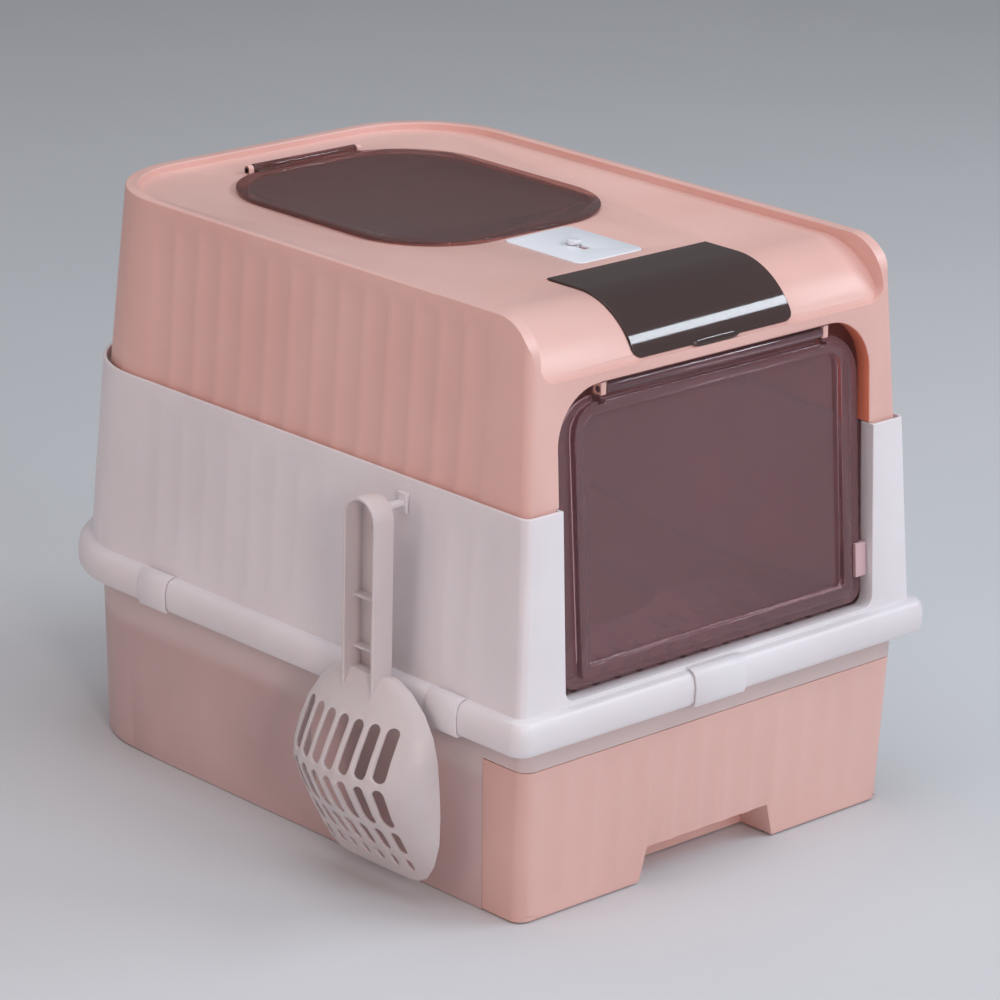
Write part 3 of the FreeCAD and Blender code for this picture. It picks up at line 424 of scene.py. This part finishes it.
# ---------------------------------------------------------------------------
# Door and its hinge rod: smoked clear plastic, pressed with a raised bead all round.
# The rod is snapped into two coral lugs under the brow.
def smoked_plastic(name, tint, roughness=0.06, clear=0.9):
    """Clear smoked plastic with faint polishing marks in its gloss."""
    paint = bpy.data.materials.new(name)
    paint.use_nodes = True
    nodes, links = paint.node_tree.nodes, paint.node_tree.links
    shader = nodes["Principled BSDF"]
    texture = nodes.new("ShaderNodeGroup")
    texture.node_tree = grain_group
    texture.inputs["Grain size"].default_value = 160.0
    texture.inputs["Drift size"].default_value = 14.0
    tones = nodes.new("ShaderNodeValToRGB")
    tones.color_ramp.elements[0].color = (*[part * 0.92 for part in tint], 1)
    tones.color_ramp.elements[1].color = (*[part * 1.05 for part in tint], 1)
    gloss = nodes.new("ShaderNodeMapRange")
    gloss.inputs["To Min"].default_value = roughness
    gloss.inputs["To Max"].default_value = roughness + 0.05
    links.new(texture.outputs["Drift"], tones.inputs["Fac"])
    links.new(texture.outputs["Grain"], gloss.inputs["Value"])
    links.new(tones.outputs["Color"], shader.inputs["Base Color"])
    links.new(gloss.outputs["Result"], shader.inputs["Roughness"])
    shader.inputs["Transmission Weight"].default_value = clear
    shader.inputs["IOR"].default_value = 1.45
    shader.inputs["Specular IOR Level"].default_value = 0.3
    return paint


door_paint = smoked_plastic("smoked_door", (0.66, 0.40, 0.43), 0.04, 0.88)
finished(
    "swing_door", merged_copy("front_door"), door_paint, ["front_door"],
    "door", soft_edge=0.0008,
)
rod_paint = smoked_plastic("smoked_rod", (0.20, 0.13, 0.15), 0.12, 0.3)
finished(
    "door_rod", merged_copy("door_hinge_rod"), rod_paint, ["door_hinge_rod"],
    "hood", soft_edge=0.0003,
)
catch_paint = moulded_plastic("rose_catch", (0.60, 0.40, 0.42), (0.66, 0.45, 0.47), 0.35)
finished(
    "door_stop", merged_copy("door_catch"), catch_paint, ["door_catch"],
    "door", soft_edge=0.0005,
)


# ---------------------------------------------------------------------------
# Top lid: smoked clear plate with a raised border, moulded in one piece.
# It is hinged on a rod behind it, which sits in the hood.
lid_paint = smoked_plastic("smoked_lid", (0.58, 0.29, 0.27), 0.04, 0.90)
finished(
    "lid_plate", merged_copy("top_lid"), lid_paint, ["top_lid"],
    "lid", soft_edge=0.0005, bend=9.0,
)
finished(
    "lid_rod", merged_copy("lid_hinge_rod"), rod_paint, ["lid_hinge_rod"],
    "hood", soft_edge=0.0003,
)


# ---------------------------------------------------------------------------
# Lid latch: a white moulded plate let into the hood.
# A thumb slider runs in its slot, with a bolt below that reaches under the edge of the lid.
latch_paint = moulded_plastic("white_plastic", (0.80, 0.81, 0.85), (0.84, 0.85, 0.89), 0.35)
finished(
    "latch_plate_white", merged_copy("latch_plate"), latch_paint, ["latch_plate"],
    "hood", soft_edge=0.0004,
)
knob_paint = moulded_plastic("white_knob", (0.74, 0.75, 0.79), (0.80, 0.81, 0.85), 0.30)
finished(
    "latch_knob", merged_copy("latch_slider"), knob_paint, ["latch_slider"],
    "latch", soft_edge=0.0008,
)


# ---------------------------------------------------------------------------
# Odour compartment: a smoked clear cover, moulded to the bend of the brow, with its hinge pins.
# Under it are a coral plastic box and a charcoal felt pack.
cover_paint = smoked_plastic("smoked_cover", (0.15, 0.10, 0.095), 0.04, 0.60)
cover_low, cover_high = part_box("deodoriser_cover")
brow_centre = Vector((0.0, -0.18259, 0.346))
brow_radius = 0.0585
cover_lift = 0.0013
cover_top = brow_radius + cover_lift
cover_skin = bmesh.new()
bmesh.ops.create_grid(cover_skin, x_segments=40, y_segments=44, size=0.5)
cover_half = cover_high.x
cover_corner = 0.007
cover_thick = 0.002
flat_end = brow_centre.y
rear_edge = -0.1519
bend = math.acos((cover_low.z + 0.0002 - brow_centre.z) / cover_top)
flat_length = rear_edge - flat_end
sheet_length = flat_length + bend * cover_top
for vert in cover_skin.verts:
    across_sheet = vert.co.x * 2.0
    along = (0.5 - vert.co.y) * sheet_length
    over = along - (sheet_length - cover_corner)
    half = cover_half
    if over > 0:
        half = cover_half - cover_corner + math.sqrt(max(cover_corner ** 2 - over ** 2, 0.0))
    vert.co.x = across_sheet * half
    if along < flat_length:
        vert.co.y = rear_edge - along
        vert.co.z = brow_centre.z + cover_top
    else:
        angle = (along - flat_length) / cover_top
        vert.co.y = brow_centre.y - cover_top * math.sin(angle)
        vert.co.z = brow_centre.z + cover_top * math.cos(angle)
bmesh.ops.recalc_face_normals(cover_skin, faces=cover_skin.faces)
if cover_skin.faces[0].normal.z < 0:
    bmesh.ops.reverse_faces(cover_skin, faces=cover_skin.faces)
bmesh.ops.solidify(cover_skin, geom=cover_skin.faces[:], thickness=cover_thick)
if max(vert.co.z for vert in cover_skin.verts) > brow_centre.z + cover_top + 0.0005:
    bmesh.ops.translate(cover_skin, verts=cover_skin.verts, vec=(0, 0, -cover_thick))
lip_half_width = 0.0215
lip_skin = bmesh.new()
bmesh.ops.create_grid(lip_skin, x_segments=28, y_segments=8, size=0.5)
for vert in lip_skin.verts:
    across_lip = vert.co.x * 2.0
    down_lip = vert.co.y * 2.0
    tall = 0.0030 * (1.0 - 0.55 * abs(across_lip) ** 6)
    angle = bend - 0.012 - down_lip * tall / cover_top
    raised = cover_top + 0.0004 + 0.0012 * (1.0 - abs(across_lip) ** 8) * (1.0 - abs(down_lip) ** 4)
    vert.co = (
        across_lip * lip_half_width,
        brow_centre.y - raised * math.sin(angle),
        brow_centre.z + raised * math.cos(angle),
    )
bmesh.ops.recalc_face_normals(lip_skin, faces=lip_skin.faces)
if sum(face.normal.y for face in lip_skin.faces) > 0:
    bmesh.ops.reverse_faces(lip_skin, faces=lip_skin.faces)
bmesh.ops.solidify(lip_skin, geom=lip_skin.faces[:], thickness=0.0008)
lip_mesh = bpy.data.meshes.new("lip_only")
lip_skin.to_mesh(lip_mesh)
lip_skin.free()
cover_skin.from_mesh(lip_mesh)
bpy.data.meshes.remove(lip_mesh)
finished("odour_cover", cover_skin, cover_paint, ["deodoriser_cover"], "cover", soft_edge=0.0005)
finished(
    "cover_pins", merged_copy("cover_hinge_pins"), rod_paint, ["cover_hinge_pins"],
    "cover", soft_edge=0.0,
)
box_paint = moulded_plastic("coral_box", (0.60, 0.34, 0.30), (0.66, 0.39, 0.35), 0.45)
finished(
    "odour_box", merged_copy("deodoriser_tray"), box_paint, ["deodoriser_tray"],
    "hood", soft_edge=0.0004,
)
felt_paint = moulded_plastic("charcoal_felt", (0.035, 0.035, 0.038), (0.07, 0.07, 0.075), 0.9, grain=0.6)
finished(
    "charcoal_pad", merged_copy("charcoal_pack"), felt_paint, ["charcoal_pack"],
    "hood", soft_edge=0.0012,
)


# ---------------------------------------------------------------------------
# Step grate: loose slotted plate just inside the entrance, moulded in pale plastic.
# The cat steps on it on the way out, and litter falls through its slots.
grate_paint = moulded_plastic("grate_plastic", (0.72, 0.64, 0.64), (0.77, 0.69, 0.69), 0.45)
finished(
    "grate_plate", merged_copy("step_grate"), grate_paint, ["step_grate"],
    "grate", soft_edge=0.0006,
)


# ---------------------------------------------------------------------------
# Scoop and its hook: a thin slotted scoop with a channel handle, moulded in pale plastic.
# It hangs outside on a small hook fixed to the middle frame.
scoop_paint = moulded_plastic("scoop_plastic", (0.62, 0.565, 0.565), (0.69, 0.635, 0.635), 0.40, glow=0.25)
finished(
    "scoop_body", merged_copy("scoop"), scoop_paint, ["scoop"],
    "scoop", soft_edge=0.0004,
)
finished(
    "scoop_peg", merged_copy("scoop_hook"), pale_paint, ["scoop_hook"],
    "base", soft_edge=0.0005,
)


# ---------------------------------------------------------------------------
# Rim clips: thin moulded spring clips round the rolled rim.
# Four are on the sides, one is in front and one at the rear.
for clip_node in ("side_clips", "front_clip", "rear_clip"):
    finished(
        clip_node + "_set", merged_copy(clip_node), pale_paint, [clip_node],
        "base", soft_edge=0.0005,
    )

bpy.context.scene.view_settings.view_transform = "Standard"
